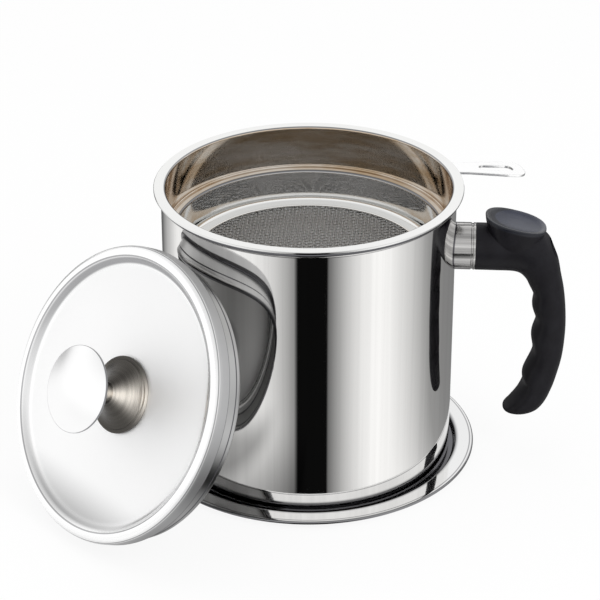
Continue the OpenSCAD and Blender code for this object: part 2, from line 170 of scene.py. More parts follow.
def revolve(name, profile, steps, place=None):
    """A closed profile of (radius, height) points in mm, turned about +Z and put in place."""
    bm = bmesh.new()
    rings = []
    for r, z in profile:
        if r < 1e-6:
            rings.append([bm.verts.new((0, 0, z * MM))])
        else:
            rings.append([bm.verts.new((r * MM * math.cos(2 * math.pi * k / steps),
                                        r * MM * math.sin(2 * math.pi * k / steps), z * MM))
                          for k in range(steps)])
    for a, b in zip(rings, rings[1:] + rings[:1]):
        if len(a) > 1 and len(b) > 1:
            join_rings(bm, a, b)
        elif len(b) > 1:
            fan(bm, b, a[0])
        elif len(a) > 1:
            fan(bm, a, b[0])
    if place:
        bmesh.ops.transform(bm, matrix=place, verts=bm.verts)
    return from_bmesh(name, bm)


def loft(name, rings):
    """A closed skin over equal rings of points in mm, with a fan at each end."""
    bm = bmesh.new()
    rows = [[bm.verts.new(Vector(p) * MM) for p in ring] for ring in rings]
    for a, b in zip(rows, rows[1:]):
        join_rings(bm, a, b)
    for row in (rows[0], rows[-1]):
        middle = bm.verts.new(sum((v.co for v in row), Vector()) / len(row))
        fan(bm, row, middle)
    return from_bmesh(name, bm)


def apply_modifiers(obj):
    """Turns an object's modifiers into its plain mesh."""
    graph = bpy.context.evaluated_depsgraph_get()
    mesh = bpy.data.meshes.new_from_object(obj.evaluated_get(graph))
    obj.modifiers.clear()
    obj.data = mesh


# ---------------------------------------------------------------- shader helpers
class Val:
    """A shader socket that takes part in Python sums."""

    def __init__(self, finish, socket):
        self.finish = finish
        self.socket = socket

    def __add__(self, other):
        return self.finish.maths("ADD", self, other)

    def __radd__(self, other):
        return self.finish.maths("ADD", other, self)

    def __sub__(self, other):
        return self.finish.maths("SUBTRACT", self, other)

    def __rsub__(self, other):
        return self.finish.maths("SUBTRACT", other, self)

    def __mul__(self, other):
        return self.finish.maths("MULTIPLY", self, other)

    def __rmul__(self, other):
        return self.finish.maths("MULTIPLY", other, self)

    def __truediv__(self, other):
        return self.finish.maths("DIVIDE", self, other)

    def __pow__(self, other):
        return self.finish.maths("POWER", self, other)

    def abs(self):
        return self.finish.maths("ABSOLUTE", self)

    def sqrt(self):
        return self.finish.maths("SQRT", self)

    def most(self, other):
        return self.finish.maths("MAXIMUM", self, other)

    def fade(self, low, high, to_low=0.0, to_high=1.0):
        """A soft step from to_low at low to to_high at high."""
        return self.finish.add("ShaderNodeMapRange", {"interpolation_type": "SMOOTHSTEP"}, {
            "Value": self, "From Min": low, "From Max": high, "To Min": to_low, "To Max": to_high})


class Finish:
    """A node tree under construction: a surface finish, the floor's or the sky's."""

    def __init__(self, tree):
        self.tree = tree
        tree.nodes.clear()

    def add(self, kind, settings=None, inputs=None, out=0):
        """A node of a kind, with its settings, then its inputs, and the Val of one output."""
        node = self.tree.nodes.new(kind)
        for key, value in (settings or {}).items():
            if key == "stops":
                self.set_stops(node.color_ramp, value)
            else:
                setattr(node, key, value)
        for key, value in (inputs or {}).items():
            socket = node.inputs[key]
            if isinstance(value, Val):
                self.tree.links.new(value.socket, socket)
            else:
                socket.default_value = value
        return Val(self, node.outputs[out]) if len(node.outputs) else None

    def set_stops(self, ramp, stops):
        """Gives a colour ramp its stops: (position, grey) in rising order."""
        while len(ramp.elements) > 1:
            ramp.elements.remove(ramp.elements[-1])
        ramp.elements[0].position = stops[0][0]
        for position, _ in stops[1:]:
            ramp.elements.new(position)
        for element, (_, grey) in zip(ramp.elements, stops):
            element.color = rgba(grey)

    def maths(self, operation, *terms):
        return self.add("ShaderNodeMath", {"operation": operation}, dict(enumerate(terms)))

    def parts(self, vector):
        """The x, y and z of a vector."""
        node = self.tree.nodes.new("ShaderNodeSeparateXYZ")
        self.tree.links.new(vector.socket, node.inputs[0])
        return [Val(self, s) for s in node.outputs]

    def vector(self, x, y, z):
        return self.add("ShaderNodeCombineXYZ", None, {"X": x, "Y": y, "Z": z})

    def noise(self, vector, scale, detail, rough=0.5):
        return self.add("ShaderNodeTexNoise", None, {
            "Vector": vector, "Scale": scale, "Detail": detail, "Roughness": rough})

    def streaks(self, x, y, z, across, along, detail=1.0, rough=0.5):
        """Noise with its own scales across the axis and along it, per metre."""
        return self.noise(self.vector(x * across, y * across, z * along), 1.0, detail, rough)

    def place(self, matrix=None):
        """Object coordinates in metres, seen from the frame that the matrix places."""
        spot = self.add("ShaderNodeTexCoord", None, None, "Object")
        if matrix is None:
            return spot
        return self.add("ShaderNodeMapping", {"vector_type": "TEXTURE"}, {
            "Vector": spot, "Location": matrix.to_translation(),
            "Rotation": matrix.to_euler()})

    def around_axis(self, matrix):
        """The place in the matrix's frame, its x, y and z, and the distance from its axis."""
        spot = self.place(matrix)
        x, y, z = self.parts(spot)
        return spot, x, y, z, (x * x + y * y).sqrt()

    def bump(self, height, strength, distance):
        return self.add("ShaderNodeBump", None, {
            "Height": height, "Strength": strength, "Distance": distance})

    def mix(self, factor, a, b):
        return self.add("ShaderNodeMix", {"data_type": "RGBA"}, {0: factor, 6: a, 7: b}, 2)

    def rays(self):
        """The Light Path's share of camera rays, and of glossy rays."""
        path = self.tree.nodes.new("ShaderNodeLightPath")
        return Val(self, path.outputs["Is Camera Ray"]), Val(self, path.outputs["Is Glossy Ray"])

    def surface(self, sockets):
        """The finish's own shader, and its way out of the tree."""
        shader = self.add("ShaderNodeBsdfPrincipled", None, sockets)
        self.add("ShaderNodeOutputMaterial", None, {"Surface": shader})


def rgba(tone, share=1.0):
    """A socket's colour from a grey or an (r, g, b) tone, taken down to a share of it."""
    if isinstance(tone, float):
        tone = (tone, tone, tone)
    return (*[c * share for c in tone], 1)


def new_finish(name):
    mat = bpy.data.materials.new(name)
    mat.use_nodes = True
    return mat, Finish(mat.node_tree)


# ---------------------------------------------------------------- finishes
# hairlines' strength, the tone of the painted dark lines (painted shade in creases and under edges, painted
# dark reflections along rims), and what turned steel has in common
WEAR, PAINTED_LINE_TONE = 0.5, (0.09, 0.09, 0.10)
TURNED_TONE, TURNED_GLOSS, TURNED_SCALE = 0.62, 0.28, 5200.0


def painted_dark_lines(f, colour, x, where, lines):
    """Painted dark lines at places along one measure, the height or the radius: painted shade in creases,
    grooves and under overhangs, and painted dark reflections along rims and edges.

    A line is (place, half width, depth), and may end with the share of its depth left at +x."""
    for line in lines:
        at, half, depth = line[0] * MM, line[1] * MM, line[2]
        near = (where - at).abs().fade(half * 0.4, half, depth, 0.0)
        if len(line) > 3:
            near = near * x.fade(-40 * MM, 40 * MM, 1.0, line[3])
        colour = f.mix(near, colour, rgba(PAINTED_LINE_TONE))
    return colour


def painted_back_shade(f, colour, matrix, tone):
    """Painted shade: a darker tone where the surface faces down the axis."""
    normal = f.add("ShaderNodeTexCoord", None, None, "Normal")
    axis = matrix.to_3x3() @ Vector((0, 0, 1))
    facing = f.add("ShaderNodeVectorMath", {"operation": "DOT_PRODUCT"}, {0: normal, 1: axis}, "Value")
    return f.mix(facing.fade(-0.15, 0.05, 1.0, 0.0), colour, rgba(tone))


def polished_steel(name, tone, gloss, lines, matrix=None, satin=None, film_and_painted_reflection=None, painted_height_lines=(), rings=(),
                   back=None, painted_reflection_fall=None, drawn=None):
    """Polished sheet: buffing lines round the axis, hairline scratches, a breath of haze.

    satin: (inner radius, roughness, outer radius) of a softer finish inside the one and outside the other.
    film_and_painted_reflection: (inner radius, outer radius, colour) of a warm, streaky tint between them,
    partly a tint of grease and partly the food's brown reflection painted on.
    painted_height_lines and rings: painted dark lines at a height or a radius, as painted_dark_lines takes
    them: painted shade in creases and under edges, and painted dark reflections along rims.
    back: tone of the side that faces down the axis, which is painted darker as painted shade.
    painted_reflection_fall: (from, to, tone) of a slow fall in the satin's tone along the frame's own x, a
    painted reflection of the darker floor.
    drawn: strength of faint streaks along the axis, which deep drawing leaves.
    Lengths are in mm."""
    mat, f = new_finish(name)
    spot, x, y, z, radius = f.around_axis(matrix)
    buff = f.noise(f.vector(radius, 0.0, z), 2600.0, 2.0)
    haze = f.noise(spot, 34.0, 4.0, 0.6)
    drift = f.noise(spot, 9.0, 2.0)
    upright = f.streaks(x, y, z, 1500.0, 60.0).fade(0.64, 0.76)
    level = f.streaks(x, y, z, 90.0, 2100.0).fade(0.66, 0.78)
    marks = (upright + level) * WEAR
    rough = gloss + (haze - 0.5) * 0.03 * WEAR + marks * 0.05 + (buff - 0.5) * 0.04 * lines
    colour = f.mix(drift.fade(0.3, 0.7), rgba(tone, 0.97), rgba(tone))
    if drawn:
        streak = f.streaks(x, y, z, 260.0, 2.0, 3.0, 0.6).fade(0.35, 0.65, 0.0, drawn)
        colour = f.mix(streak, colour, rgba(0.3))
    if satin:
        inner, soft, outer = satin[0] * MM, satin[1], satin[2] * MM
        rough = rough + radius.fade(inner - 1.2 * MM, inner + 0.8 * MM, soft - gloss, 0.0)
        rough = rough + radius.fade(outer - 0.5 * MM, outer + 0.5 * MM, 0.0, soft - gloss)
    # partly a tint of grease, partly a painted reflection of the food's brown
    if film_and_painted_reflection:
        low, high = film_and_painted_reflection[0] * MM, film_and_painted_reflection[1] * MM
        streak = f.streaks(x, y, z, 22.0, 130.0, 4.0, 0.7).fade(0.30, 0.70, 0.45, 1.0)
        between = radius.fade(low - 0.3 * MM, low) * radius.fade(high - 0.3 * MM, high, 1.0, 0.0)
        colour = f.mix(between * streak, colour, rgba(film_and_painted_reflection[2]))
    # painted reflection: the satin's tone falls along x, where the panel would mirror the darker floor
    if painted_reflection_fall:
        within = radius.fade(inner + 2.0 * MM, inner + 3.2 * MM, 1.0, 0.0)
        colour = f.mix(x.fade(painted_reflection_fall[0] * MM, painted_reflection_fall[1] * MM) * within, colour, rgba(painted_reflection_fall[2]))
    # painted shade on the side that faces down the axis
    if back:
        colour = painted_back_shade(f, colour, matrix, back)
    # painted dark lines: shade in creases and under edges, dark reflections along rims
    colour = painted_dark_lines(f, colour, x, z, painted_height_lines)
    colour = painted_dark_lines(f, colour, x, radius, rings)
    f.surface({"Base Color": colour, "Metallic": 1.0, "Roughness": rough.most(0.02),
               "Normal": f.bump(buff * lines + marks * 0.6, 0.05, 0.02 * MM)})
    return mat


def turned_shade(f, radius, z, scale):
    """The rings that turning leaves: the fine ones alone, and their shade with broader bands."""
    rings = f.noise(f.vector(radius, 0.0, z), scale, 3.0, 0.6)
    bands = f.noise(f.vector(radius, 0.0, z), 700.0, 2.0, 0.5)
    return rings, rings.fade(0.3, 0.7) * 0.5 + bands.fade(0.35, 0.65) * 0.5


def brushed_surface(f, spot, rings, colour, gloss):
    blotch = f.noise(spot, 60.0, 3.0)
    rough = gloss + (rings - 0.5) * 0.16 + (blotch - 0.5) * 0.08
    f.surface({"Base Color": colour, "Metallic": 1.0, "Roughness": rough,
               "Normal": f.bump(rings, 0.25, 0.03 * MM)})


def turned_steel(name, matrix, gloss=TURNED_GLOSS, scale=TURNED_SCALE):
    """Turned steel of screws and wire: fine rings round the axis."""
    mat, f = new_finish(name)
    spot, _, _, z, radius = f.around_axis(matrix)
    rings, shade = turned_shade(f, radius, z, scale)
    colour = f.mix(shade, rgba(TURNED_TONE, 0.84), rgba(TURNED_TONE))
    brushed_surface(f, spot, rings, colour, gloss)
    return mat


def painted_fan_steel(name, matrix, tone, highlight_at):
    """Brushed steel of the knob's foot: fine rings, and a two-sided bright fan painted into its colour,
    dark elsewhere: a painted highlight.
    """
    strength, dark = 0.92, 0.06
    mat, f = new_finish(name)
    spot, x, y, z, radius = f.around_axis(matrix)
    rings, shade = turned_shade(f, radius, z, TURNED_SCALE)
    angle = f.maths("ARCTAN2", y, x) - math.radians(highlight_at)
    bright = f.maths("COSINE", angle * 2.0) * 0.5 + 0.5
    shade = (bright ** 4.0) * (0.75 + shade * 0.5) * strength + shade * (1.0 - strength) * 0.4
    brushed_surface(f, spot, rings, f.mix(shade, rgba(tone, dark), rgba(tone)), TURNED_GLOSS)
    return mat


def drawn_steel(name, matrix):
    """Drawn tube: streaks along its length, wide dark bands round it that are painted reflections of the
    surroundings, and a dark joint.
    """
    mat, f = new_finish(name)
    tone = (0.66, 0.65, 0.64)
    _, x, y, z, radius = f.around_axis(matrix)
    radius = radius.most(MM)
    side, up = x / radius, y / radius
    # painted reflection: wide bands round the tube, lighter and darker as reflected surroundings
    reflection_bands = f.streaks(side, up, z, 4.5, 3.0, 3.0, 0.55)
    fine = f.streaks(side, up, z, 60.0, 14.0, 2.0, 0.6)
    streak = reflection_bands.fade(0.35, 0.65) * 0.65 + fine.fade(0.3, 0.7) * 0.35
    colour = f.mix(streak, rgba(tone, 0.40), rgba(tone))
    from_wall = z - ((BODY_R * MM) ** 2 - y * y).sqrt()
    colour = f.mix(from_wall.fade(0.2 * MM, 0.6 * MM, 0.9, 0.0), colour, rgba((0.05, 0.05, 0.06)))
    f.surface({"Base Color": colour, "Metallic": 1.0, "Roughness": 0.16 + (fine - 0.5) * 0.12,
               "Normal": f.bump(fine * 0.7 + reflection_bands * 0.3, 0.12, 0.04 * MM)})
    return mat


def moulded_black(name):
    """Black moulding: fine grain, a faint mould seam, and a thumb rest whose dish is painted a lighter
    bluish grey, a painted sheen.
    """
    mat, f = new_finish(name)
    spot = f.place()
    y = f.parts(spot)[1]
    grain = f.noise(spot, 3800.0, 2.0, 0.7)
    cloud = f.noise(spot, 120.0, 4.0, 0.6)
    specks = f.add("ShaderNodeTexVoronoi", None, {"Vector": spot, "Scale": 2400.0})
    seam = y.abs().fade(0.1 * MM, 0.4 * MM, 1.0, 0.0)
    a, b, above = f.parts(f.place(moved(PAD_X, 0, PAD_Z) @ turned(PAD_SLOPE, "Y")))
    rest = above.fade(-2.2 * MM, -1.2 * MM)
    lip = above.fade(-0.4 * MM, -0.1 * MM) * rest
    along = (a - DISH_AT[0] * MM) / (DISH_L / 2 * MM)
    across = (b - DISH_AT[1] * MM) / (DISH_W / 2 * MM)
    dish = (along * along + across * across).fade(0.90, 1.04, 1.0, 0.0)
    dull = f.mix(cloud.fade(0.3, 0.7), rgba((0.0062, 0.0056, 0.0076)), rgba((0.0100, 0.0096, 0.0124)))
    speckle = grain.fade(0.3, 0.7) * 0.5 + cloud.fade(0.3, 0.7) * 0.5
    # painted sheen: the dish and, less, the rim round it are painted lighter and bluish, as light catches
    # the thumb rest
    blue_sheen = f.mix(speckle, rgba((0.014, 0.017, 0.030)), rgba((0.032, 0.036, 0.056)))
    bevel = rgba((0.0085, 0.0098, 0.0155))
    colour = f.mix(rest, dull, f.mix(dish, bevel, blue_sheen))
    rough = 0.42 + (cloud - 0.5) * 0.14 + (grain - 0.5) * 0.10 - rest * 0.08 - lip * 0.10
    height = grain * 0.6 + specks * 0.5 + seam * 0.8
    f.surface({"Base Color": colour, "Roughness": rough, "IOR": 1.50, "Specular IOR Level": 0.13,
               "Coat Weight": 0.05 + rest * 0.35 + lip * 0.35, "Coat Roughness": 0.26,
               "Normal": f.bump(height, 0.22, 0.05 * MM)})
    return mat


# painted shade: a dark line under the strainer's flange on the bead's top, and one in the crease under the
# bead
POT_STEEL = polished_steel(
    "pot_steel_polished", tone=(0.87, 0.862, 0.846), gloss=0.04, lines=0.3, drawn=0.10,
    satin=(POT_IN_R - 0.1, 0.50, BODY_R + 9),
    painted_height_lines=[(BEAD_Z + 0.35, 1.0, 0.96), (BEAD_Z - 1.35, 0.6, 0.9)])
# painted shadow in the recess round the pot's foot, and painted dark lines along the rolled outer edge
TRAY_STEEL = polished_steel(
    "tray_steel_polished", tone=0.79, gloss=0.06, lines=0.6,
    rings=[(BODY_R + 1.2, 3.5, 0.96), (TRAY_R - 1.5, 0.4, 0.6), (TRAY_R, 0.85, 0.8)])
# a tint of grease on the upper wall that also paints the food's brown reflection, and painted shade in the
# folds at the top of the wall and at the step
SIEVE_STEEL = polished_steel(
    "strainer_steel_polished", tone=(0.82, 0.82, 0.81), gloss=0.08, lines=0.8,
    film_and_painted_reflection=(STR_IN_R - 1.5, STR_IN_R + 0.4, (0.42, 0.31, 0.20)),
    rings=[(STR_IN_R + 0.5, 0.4, 0.7), (LOW_IN_R + 0.5, 0.6, 0.85)])
TAB_STEEL = polished_steel("tab_steel_polished", tone=0.98, gloss=0.20, lines=0.2)
# painted: shade on the underside, the darker floor's reflection across the panel, shade in the fillet round
# the panel (less on the +x side), and dark lines at the skirt's edge and along the rim
LID_STEEL = polished_steel(
    "lid_steel_satin", tone=0.985, gloss=0.20, lines=0.5, matrix=LEAN, back=0.55,
    satin=(PANEL_R - 2.8, 0.55, CREST_R + 1.6), painted_reflection_fall=(36.0, 60.0, 0.46), painted_height_lines=[(0.0, 0.3, 0.75)],
    rings=[(PANEL_R - 0.6, 1.7, 0.68, 0.2), (PANEL_R + 1.1, 0.4, 0.6), (LID_R - 0.55, 0.2, 0.62),
           (LID_R, 0.4, 0.45)])
# painted shade: the collar's low tone, for it sits under the lid, and dark lines in its groove and at its
# folds
COLLAR_STEEL = polished_steel(
    "collar_steel_polished", tone=0.48, gloss=0.30, lines=0.8, matrix=LEAN,
    painted_height_lines=[(COLLAR_GROOVE - COLLAR_H, 0.45, 0.9), (-0.2, 0.6, 0.9), (-COLLAR_H, 0.5, 0.9)])
# a painted dark line along the cap's rim
CAP_STEEL = polished_steel(
    "knob_cap_steel_polished", tone=0.99, gloss=0.30, lines=0.3, matrix=LEAN,
    rings=[(KNOB_CAP_R, 0.22, 0.80)])
FERRULE_STEEL = drawn_steel("ferrule_steel_drawn", ARM)
# the knob's foot carries a painted highlight: a bright fan at 106 degrees round its axis
KNOB_STEEL = painted_fan_steel("knob_foot_steel_brushed", LEAN, tone=(0.90, 0.84, 0.76), highlight_at=106.0)
SCREW_STEEL = turned_steel("screw_steel_turned", ARM)
LID_SCREW_STEEL = turned_steel("lid_screw_steel_turned", LEAN)
WIRE_STEEL = turned_steel("wire_steel_drawn", None, gloss=0.22, scale=3000.0)
GRIP_BLACK = moulded_black("grip_moulding_black")


def give(obj, mat, body, node):
    """Puts a finish on a piece, hangs it on the body it rides on, and hides the solid it stands for."""
    obj.data.materials.clear()
    obj.data.materials.append(mat)
    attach(obj, body)
    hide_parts(node)


def recolour(node, mat):
    """A carried-over solid keeps its shape and gets a finish."""
    obj = NODES[node]
    for slot in obj.material_slots:
        slot.material = mat
    if not obj.material_slots:
        obj.data.materials.append(mat)


# ---------------------------------------------------------------- pot and tray
def tray_profile():
    """A flat recess, a steep step up to the flange, and a rolled outer edge."""
    recess, under = BODY_R + TRAY_GAP, TRAY_H - TRAY_T
    foot, brow, brow_under = recess - 0.4, recess + 1.6, recess + 2.3
    roll, steep = 0.75, 10
    return ([(0, 0)] + arc(foot, 1.2, 1.2, -90, -steep)
            + arc(brow_under, under - 0.8, 0.8, 180 - steep, 90)
            + [(TRAY_R - 1.0, under)]
            + arc(TRAY_R - roll, under + 0.05, roll, -110, 90)
            + [(TRAY_R - 1.4, TRAY_H)]
            + arc(brow, TRAY_H - 0.9, 0.9, 90, 180 - steep)
            + arc(foot, TRAY_T + 0.5, 0.5, -steep, -90)
            + [(0, TRAY_T)])


def pot_profile():
    """Wall and base, with a raised middle that keeps the base from rocking."""
    centre, corner_z, base_in = BODY_R - CORNER_R, POT_Z + CORNER_R, POT_Z + WALL_T
    heights = (30, 60, 90)
    return ([(0, POT_Z + KICK_H), (KICK_R - 2, POT_Z + KICK_H), (KICK_R, POT_Z)]
            + arc(centre, corner_z, CORNER_R, -90, 0)
            + [(BODY_R, z) for z in heights] + [(BODY_R, RIM_SPLIT), (POT_IN_R, RIM_SPLIT)]
            + [(POT_IN_R, z) for z in reversed(heights)]
            + arc(centre, corner_z, CORNER_R - WALL_T, 0, -90)
            + [(KICK_R + 0.4, base_in), (KICK_R - 1.6, base_in + KICK_H), (0, base_in + KICK_H)])


def rim_profile():
    """The top of the wall, rolled outwards into a bead."""
    under = math.degrees(math.acos((BODY_R - BEAD_C) / BEAD_R))
    return ([(BODY_R, RIM_SPLIT)] + arc(BEAD_C, BEAD_Z, BEAD_R, -under, 180, 32) + [(POT_IN_R, RIM_SPLIT)])


give(revolve("tray_sheet", tray_profile(), 224), TRAY_STEEL, "tray", "tray")
give(revolve("pot_shell", pot_profile(), 256), POT_STEEL, "pot", "pot_body")
give(revolve("rolled_rim", rim_profile(), 256), POT_STEEL, "pot", "pot_rim")


# ---------------------------------------------------------------- strainer
def strainer_profile():
    """Flange, fold, upper wall, step, lower wall and lip, then the same back along the outside."""
    t, fold_z = STRAINER_T, RIM_Z - FOLD_R
    shoulder = (STR_IN_R - SHOULDER_R, STEP_Z + SHOULDER_R)
    step = (LOW_IN_R + STEP_R, STEP_Z - STEP_R)
    corner = (LOW_IN_R - LOW_CORNER, LOW_Z + LOW_CORNER)
    return ([(FLANGE_R, RIM_Z - FLANGE_T), (FLANGE_R, RIM_Z - 0.2), (FLANGE_R - 0.2, RIM_Z)]
            + arc(STR_IN_R + FOLD_R, fold_z, FOLD_R, 90, 180)
            + arc(*shoulder, SHOULDER_R, 0, -90, 8)
            + arc(*step, STEP_R, 90, 180)
            + arc(*corner, LOW_CORNER, 0, -90)
            + [(LIP_R, LOW_Z), (LIP_R, LOW_Z - t)]
            + arc(*corner, LOW_CORNER + t, -90, 0)
            + [(LOW_IN_R + t, STEP_Z - STEP_R)]
            + arc(*step, STEP_R - t, 180, 90, 6)
            + arc(*shoulder, SHOULDER_R + t, -90, 0)
            + arc(STR_IN_R + FOLD_R, fold_z, FOLD_R - FLANGE_T + 0.1, 180, 90, 6)
            + [(FLANGE_R - 1, RIM_Z - FLANGE_T)])


def ring_profile():
    """The ring that clamps the mesh, rounded towards the middle."""
    return ([(LIP_R, 0), (MESH_R, 0), (MESH_R, RING_T - 0.3), (MESH_R - 0.3, RING_T)]
            + arc(LIP_R + RING_ROUND, RING_T - RING_ROUND, RING_ROUND, 90, 180, 8))


give(revolve("strainer_shell", strainer_profile(), 224), SIEVE_STEEL, "strainer", "strainer_bowl")
give(revolve("mesh_clamp_ring", ring_profile(), 160, moved(0, 0, LOW_Z + MESH_T)),
     SIEVE_STEEL, "strainer", "mesh_ring")

WEAVE_SIZES = {"Disc Radius": (MESH_R - 0.2) * MM, "Wire Pitch": WIRE_PITCH * MM,
               "Wire Radius": WIRE_R * MM, "Wave": WIRE_WAVE * MM}


class Weave:
    """The node tree of a round woven mesh: wires that pass over and under each other."""

    def __init__(self):
        self.tree = bpy.data.node_groups.new("woven_wire", "GeometryNodeTree")
        self.tree.interface.new_socket(name="Geometry", in_out="OUTPUT", socket_type="NodeSocketGeometry")
        self.keys = {}
        for name, size in WEAVE_SIZES.items():
            self.add_input(name, "NodeSocketFloat", size)
        self.add_input("Wires", "NodeSocketInt", WIRE_COUNT)
        self.given = self.tree.nodes.new("NodeGroupInput")
        self.where = self.put("GeometryNodeInputPosition")
        self.gaps = self.calc("SUBTRACT", self.given.outputs["Wires"], 1.0)
        span = self.calc("MULTIPLY", self.gaps, self.given.outputs["Wire Pitch"])
        self.start = self.calc("MULTIPLY", span, -0.5)

    def add_input(self, name, kind, value):
        """A named input and its value. keys holds the identifier that a modifier knows it by."""
        socket = self.tree.interface.new_socket(name=name, in_out="INPUT", socket_type=kind)
        socket.default_value = value
        self.keys[name] = socket.identifier

    def put(self, kind, settings=None, inputs=None, out=0):
        """A node of a kind, with its settings, then its inputs, and one of its outputs."""
        node = self.tree.nodes.new(kind)
        for key, value in (settings or {}).items():
            setattr(node, key, value)
        for key, value in (inputs or {}).items():
            if hasattr(value, "is_output"):
                self.tree.links.new(value, node.inputs[key])
            else:
                node.inputs[key].default_value = value
        return node.outputs[out]

    def calc(self, operation, a, b=0.0):
        return self.put("ShaderNodeMath", {"operation": operation}, {0: a, 1: b})

    def level(self, axes, a, b):
        """A level vector: a along the first of the axes, b along the second."""
        return self.put("ShaderNodeCombineXYZ", None, {axes[0]: a, axes[1]: b})

    def rows(self, axes):
        """Rows of points along the first axis, half a pitch apart, cut off at the disc's edge."""
        pitch = self.given.outputs["Wire Pitch"]
        knots = self.calc("ADD", self.calc("MULTIPLY", self.gaps, 2.0), 1.0)
        across = self.put("GeometryNodeMeshLine", {"mode": "OFFSET"}, {
            "Count": self.given.outputs["Wires"], "Start Location": self.level(axes, 0.0, self.start),
            "Offset": self.level(axes, 0.0, pitch)})
        along = self.put("GeometryNodeMeshLine", {"mode": "OFFSET"}, {
            "Count": knots, "Start Location": self.level(axes, self.start, 0.0),
            "Offset": self.level(axes, self.calc("MULTIPLY", pitch, 0.5), 0.0)})
        many = self.put("GeometryNodeInstanceOnPoints", None, {"Points": across, "Instance": along})
        real = self.put("GeometryNodeRealizeInstances", None, {"Geometry": many})
        reach = self.put("ShaderNodeVectorMath", {"operation": "LENGTH"}, {0: self.where}, "Value")
        far = self.calc("GREATER_THAN", reach, self.given.outputs["Disc Radius"])
        return self.put("GeometryNodeDeleteGeometry", {"domain": "POINT"}, {
            "Geometry": real, "Selection": far})

    def lift(self, side):
        """Height of a wire at a place: up where the other direction's goes down."""
        height = self.calc("MULTIPLY", self.given.outputs["Wave"], side)
        for axis in (0, 1):
            reach = self.put("ShaderNodeSeparateXYZ", None, {0: self.where}, axis)
            turns = self.calc("DIVIDE", reach, self.given.outputs["Wire Pitch"])
            wave = self.calc("COSINE", self.calc("MULTIPLY", turns, math.pi))
            height = self.calc("MULTIPLY", height, wave)
        return self.put("ShaderNodeCombineXYZ", None, {"Z": height})

    def wires(self, axes, side):
        """Round wires along the rows of one direction."""
        waved = self.put("GeometryNodeSetPosition", None, {
            "Geometry": self.rows(axes), "Offset": self.lift(side)})
        curve = self.put("GeometryNodeMeshToCurve", None, {"Mesh": waved})
        circle = self.put("GeometryNodeCurvePrimitiveCircle", {"mode": "RADIUS"}, {
            "Resolution": WIRE_SIDES, "Radius": self.given.outputs["Wire Radius"]})
        return self.put("GeometryNodeCurveToMesh", None, {
            "Curve": curve, "Profile Curve": circle, "Fill Caps": True})

    def close(self):
        """Joins both directions' wires, gives them their finish and leads them out of the tree."""
        both = self.tree.nodes.new("GeometryNodeJoinGeometry")
        for axes, side in (("XY", 1.0), ("YX", -1.0)):
            self.tree.links.new(self.wires(axes, side), both.inputs[0])
        smooth = self.put("GeometryNodeSetShadeSmooth", None, {"Geometry": both.outputs[0]})
        real = self.put("GeometryNodeRealizeInstances", None, {"Geometry": smooth})
        dressed = self.put("GeometryNodeSetMaterial", None, {"Geometry": real, "Material": WIRE_STEEL})
        out = self.tree.nodes.new("NodeGroupOutput")
        self.tree.links.new(dressed, out.inputs[0])


def woven_mesh():
    """The round of woven wire on the strainer's lip, as a plain mesh."""
    weave = Weave()
    weave.close()
    obj = add_object("strainer_weave", bpy.data.meshes.new("strainer_weave"))
    mod = obj.modifiers.new("weave", "NODES")
    mod.node_group = weave.tree
    mod[weave.keys["Wires"]] = WIRE_COUNT
    for name, size in WEAVE_SIZES.items():
        mod[weave.keys[name]] = size
    apply_modifiers(obj)
    obj.data.transform(moved(0, 0, WIRE_Z))
    return obj


give(woven_mesh(), WIRE_STEEL, "strainer", "strainer_mesh")


def evenly(points, count):
    """The same closed outline in a given number of equal steps."""
    line = points + points[:1]
    lengths = [math.dist(a, b) for a, b in zip(line, line[1:])]
    step = sum(lengths) / count
    out, k, gone = [], 0, 0.0
    for i in range(count):
        while gone + lengths[k] < i * step - 1e-9:
            gone += lengths[k]
            k += 1
        t = (i * step - gone) / lengths[k]
        out.append(tuple(a + (b - a) * t for a, b in zip(line[k], line[k + 1])))
    return out


def tab_outline():
    """From the flange's round edge, widening to a head with rounded corners."""
    end, root, tip = FLANGE_R + TAB_L, TAB_ROOT_W / 2, TAB_END_W / 2
    half = [(math.sqrt(FLANGE_R ** 2 - y * y), y) for y in [root * k / 6 for k in range(7)]]
    half += [(FLANGE_R + TAB_NECK, root), (end - TAB_HEAD, tip)]
    half += arc(end - TAB_CORNER, tip - TAB_CORNER, TAB_CORNER, 90, 0)
    return half + [(x, -y) for x, y in reversed(half[1:])]


def slot_outline():
    far, r = SLOT_L / 2 - SLOT_W / 2, SLOT_W / 2
    return (arc(SLOT_C - far, 0, r, 180, 90, 10) + arc(SLOT_C + far, 0, r, 90, -90, 20)
            + arc(SLOT_C - far, 0, r, -90, -180, 10)[:-1])


def hanging_tab():
    """A flat tab with a long slot, its edges broken."""
    bm = bmesh.new()
    rings = [[bm.verts.new(Vector((x, y, z)) * MM) for x, y in evenly(line, 160)]
             for line, z in ((tab_outline(), 0.0), (slot_outline(), 0.0),
                             (slot_outline(), -TAB_T), (tab_outline(), -TAB_T))]
    for a, b in zip(rings, rings[1:] + rings[:1]):
        join_rings(bm, a, b)
    bmesh.ops.transform(bm, matrix=moved(-FLANGE_R, 0, 0), verts=bm.verts)
    spot = turned(TAB_ANGLE, "Z") @ moved(FLANGE_R, 0, RIM_Z) @ turned(TAB_DROOP, "Y")
    bmesh.ops.transform(bm, matrix=spot, verts=bm.verts)
    obj = from_bmesh("hanging_tab", bm)
    edge = obj.modifiers.new("broken_edge", "BEVEL")
    edge.width, edge.segments = TAB_EDGE * MM, 3
    edge.limit_method, edge.angle_limit = "ANGLE", math.radians(50)
    apply_modifiers(obj)
    return obj


give(hanging_tab(), TAB_STEEL, "strainer", "strainer_tab")


